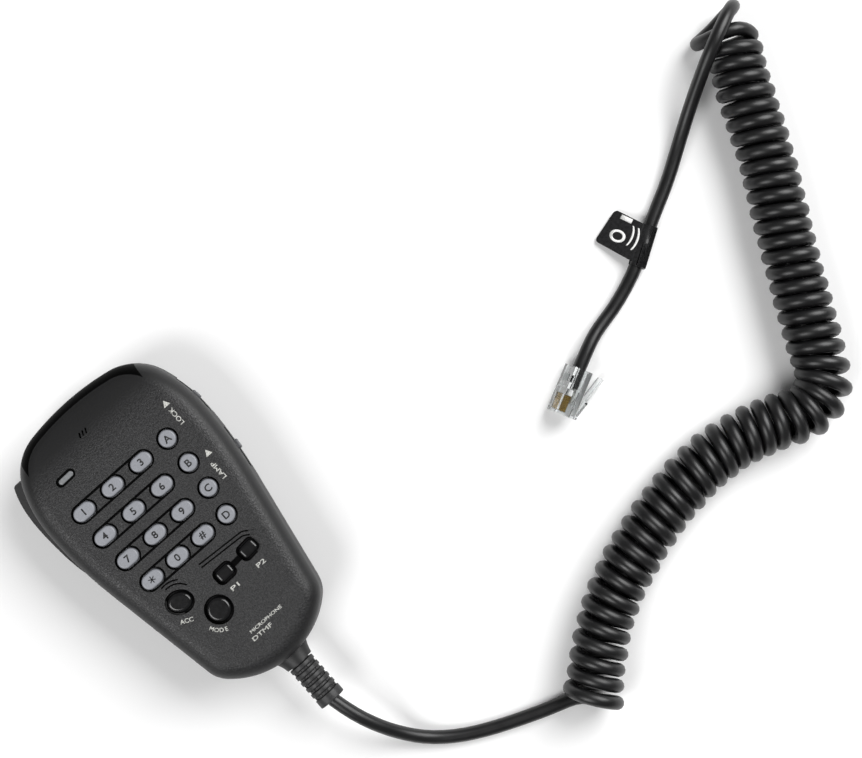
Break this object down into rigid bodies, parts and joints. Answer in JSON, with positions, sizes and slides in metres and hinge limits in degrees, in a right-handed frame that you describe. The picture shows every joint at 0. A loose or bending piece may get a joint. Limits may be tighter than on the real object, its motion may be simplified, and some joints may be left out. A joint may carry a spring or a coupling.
{
  "type": "hand microphone",
  "caption": "Hand-held radio microphone: tapered two-part case, keypad face, push-to-talk lever on its left side, hanger button on its back, curly cord and clear modular plug.",
  "frame": {"origin": "centre of the hanger button's flat outer face, on the back of the case", "axes": "+X to the right of the face, +Y towards the top end, +Z out of the face; the part lies level on the hanger button and the heel of its back at z = 0"},
  "size_m": [0.284, 0.1929, 0.0289],
  "materials": {
    "case_abs": "coarse moulded grain, satin black",
    "lever_abs": "fine moulded grain, satin black",
    "key_caps": "smooth pale blue-grey with black printed legends",
    "black_buttons": "smooth satin black",
    "silicone": "matt grey silicone",
    "fibreglass": "green lacquered glass-fibre board",
    "component_black": "moulded epoxy",
    "component_cream": "moulded nylon",
    "steel_can": "plated can",
    "capacitor_sleeve": "shrink sleeve",
    "lens_clear": "clear moulded acrylic",
    "led_body": "milky epoxy",
    "slider_grey": "smooth dark grey",
    "switch_steel": "plated frame",
    "pin_steel": "ground",
    "screw_steel": "black-zinc plated",
    "hanger_nickel": "bright nickel plate",
    "relief_pvc": "smooth black",
    "cord_pvc": "glossy black jacket",
    "wire_insulation": "coloured insulation",
    "tag_vinyl": "satin vinyl label",
    "plug_clear": "clear polycarbonate",
    "contact_gold": "gold plated"
  },
  "bodies": {
    "case": {"board_capacitor": "capacitor_sleeve", "board_screws": "screw_steel", "capsule_boot": "silicone", "case_screws": "screw_steel", "circuit_board": "fibreglass", "cord_coil": "cord_pvc", "cord_inner_end": "cord_pvc", "cord_lead_handset": "cord_pvc", "cord_lead_plug": "cord_pvc", "cord_socket": "component_cream", "cord_tag": "tag_vinyl", "cord_wires": "wire_insulation", "crystal": "steel_can", "encoder_chip": "component_black", "front_shell": "case_abs", "hanger_button": "hanger_nickel", "hanger_screw": "screw_steel", "indicator_led": "led_body", "indicator_lens": "lens_clear", "keypad_mat": "silicone", "lamp_switch": "switch_steel", "lock_switch": "switch_steel", "mic_capsule": "steel_can", "plug_body": "plug_clear", "plug_conductors": "wire_insulation", "plug_contacts": "contact_gold", "plug_jacket_end": "cord_pvc", "ptt_pivot_pin": "pin_steel", "ptt_switch": "component_black", "rear_shell": "case_abs", "strain_relief": "relief_pvc", "switch_board": "fibreglass", "top_switches": "component_black"},
    "key_1": {"key_1": "key_caps"},
    "key_2": {"key_2": "key_caps"},
    "key_3": {"key_3": "key_caps"},
    "key_a": {"key_a": "key_caps"},
    "key_4": {"key_4": "key_caps"},
    "key_5": {"key_5": "key_caps"},
    "key_6": {"key_6": "key_caps"},
    "key_b": {"key_b": "key_caps"},
    "key_7": {"key_7": "key_caps"},
    "key_8": {"key_8": "key_caps"},
    "key_9": {"key_9": "key_caps"},
    "key_c": {"key_c": "key_caps"},
    "key_star": {"key_star": "key_caps"},
    "key_0": {"key_0": "key_caps"},
    "key_hash": {"key_hash": "key_caps"},
    "key_d": {"key_d": "key_caps"},
    "button_p1": {"button_p1": "black_buttons"},
    "button_p2": {"button_p2": "black_buttons"},
    "button_acc": {"button_acc": "black_buttons"},
    "button_mode": {"button_mode": "black_buttons"},
    "up_button": {"up_button": "black_buttons"},
    "down_button": {"down_button": "black_buttons"},
    "lock_slider": {"lock_slider": "slider_grey"},
    "lamp_slider": {"lamp_slider": "slider_grey"},
    "ptt_lever": {"ptt_lever": "lever_abs"},
    "plug_latch": {"plug_latch": "plug_clear"}
  },
  "joints": [
    {"name": "key_1_press", "type": "slide", "parent": "case", "child": "key_1", "axis": [0, 0, -1], "range_m": [0, 0.0007], "stiffness_N_per_m": 350, "springref_m": -0.0006},
    {"name": "key_2_press", "type": "slide", "parent": "case", "child": "key_2", "axis": [0, 0, -1], "range_m": [0, 0.0007], "stiffness_N_per_m": 350, "springref_m": -0.0006},
    {"name": "key_3_press", "type": "slide", "parent": "case", "child": "key_3", "axis": [0, 0, -1], "range_m": [0, 0.0007], "stiffness_N_per_m": 350, "springref_m": -0.0006},
    {"name": "key_a_press", "type": "slide", "parent": "case", "child": "key_a", "axis": [0, 0, -1], "range_m": [0, 0.0007], "stiffness_N_per_m": 350, "springref_m": -0.0006},
    {"name": "key_4_press", "type": "slide", "parent": "case", "child": "key_4", "axis": [0, 0, -1], "range_m": [0, 0.0007], "stiffness_N_per_m": 350, "springref_m": -0.0006},
    {"name": "key_5_press", "type": "slide", "parent": "case", "child": "key_5", "axis": [0, 0, -1], "range_m": [0, 0.0007], "stiffness_N_per_m": 350, "springref_m": -0.0006},
    {"name": "key_6_press", "type": "slide", "parent": "case", "child": "key_6", "axis": [0, 0, -1], "range_m": [0, 0.0007], "stiffness_N_per_m": 350, "springref_m": -0.0006},
    {"name": "key_b_press", "type": "slide", "parent": "case", "child": "key_b", "axis": [0, 0, -1], "range_m": [0, 0.0007], "stiffness_N_per_m": 350, "springref_m": -0.0006},
    {"name": "key_7_press", "type": "slide", "parent": "case", "child": "key_7", "axis": [0, 0, -1], "range_m": [0, 0.0007], "stiffness_N_per_m": 350, "springref_m": -0.0006},
    {"name": "key_8_press", "type": "slide", "parent": "case", "child": "key_8", "axis": [0, 0, -1], "range_m": [0, 0.0007], "stiffness_N_per_m": 350, "springref_m": -0.0006},
    {"name": "key_9_press", "type": "slide", "parent": "case", "child": "key_9", "axis": [0, 0, -1], "range_m": [0, 0.0007], "stiffness_N_per_m": 350, "springref_m": -0.0006},
    {"name": "key_c_press", "type": "slide", "parent": "case", "child": "key_c", "axis": [0, 0, -1], "range_m": [0, 0.0007], "stiffness_N_per_m": 350, "springref_m": -0.0006},
    {"name": "key_star_press", "type": "slide", "parent": "case", "child": "key_star", "axis": [0, 0, -1], "range_m": [0, 0.0007], "stiffness_N_per_m": 350, "springref_m": -0.0006},
    {"name": "key_0_press", "type": "slide", "parent": "case", "child": "key_0", "axis": [0, 0, -1], "range_m": [0, 0.0007], "stiffness_N_per_m": 350, "springref_m": -0.0006},
    {"name": "key_hash_press", "type": "slide", "parent": "case", "child": "key_hash", "axis": [0, 0, -1], "range_m": [0, 0.0007], "stiffness_N_per_m": 350, "springref_m": -0.0006},
    {"name": "key_d_press", "type": "slide", "parent": "case", "child": "key_d", "axis": [0, 0, -1], "range_m": [0, 0.0007], "stiffness_N_per_m": 350, "springref_m": -0.0006},
    {"name": "p1_press", "type": "slide", "parent": "case", "child": "button_p1", "axis": [0, 0, -1], "range_m": [0, 0.0007], "stiffness_N_per_m": 350, "springref_m": -0.0006},
    {"name": "p2_press", "type": "slide", "parent": "case", "child": "button_p2", "axis": [0, 0, -1], "range_m": [0, 0.0007], "stiffness_N_per_m": 350, "springref_m": -0.0006},
    {"name": "acc_press", "type": "slide", "parent": "case", "child": "button_acc", "axis": [0, 0, -1], "range_m": [0, 0.0007], "stiffness_N_per_m": 350, "springref_m": -0.0006},
    {"name": "mode_press", "type": "slide", "parent": "case", "child": "button_mode", "axis": [0, 0, -1], "range_m": [0, 0.0007], "stiffness_N_per_m": 350, "springref_m": -0.0006},
    {"name": "up_button_press", "type": "slide", "parent": "case", "child": "up_button", "axis": [0, -1, 0], "range_m": [0, 0.0008], "stiffness_N_per_m": 350, "springref_m": -0.0006},
    {"name": "down_button_press", "type": "slide", "parent": "case", "child": "down_button", "axis": [0, -1, 0], "range_m": [0, 0.0008], "stiffness_N_per_m": 350, "springref_m": -0.0006},
    {"name": "lock_slide", "type": "slide", "parent": "case", "child": "lock_slider", "axis": [-0.1281, 0.9918, 0], "range_m": [0, 0.0025]},
    {"name": "lamp_slide", "type": "slide", "parent": "case", "child": "lamp_slider", "axis": [0.1074, 0.9942, 0], "range_m": [-0.0025, 0]},
    {"name": "ptt_hinge", "type": "hinge", "parent": "case", "child": "ptt_lever", "pos_m": [-0.0283, 0.0034, 0.0095], "axis": [0, 0, -1], "range_deg": [0, 3], "stiffness_Nm_per_rad": 0.5, "springref_deg": -3.44},
    {"name": "latch_flex", "type": "hinge", "parent": "case", "child": "plug_latch", "pos_m": [0.11899, -0.05812, 0.00435], "axis": [0.1521, -0.3064, 0.9397], "range_deg": [0, 12], "stiffness_Nm_per_rad": 0.08, "springref_deg": -8.59}
  ]
}
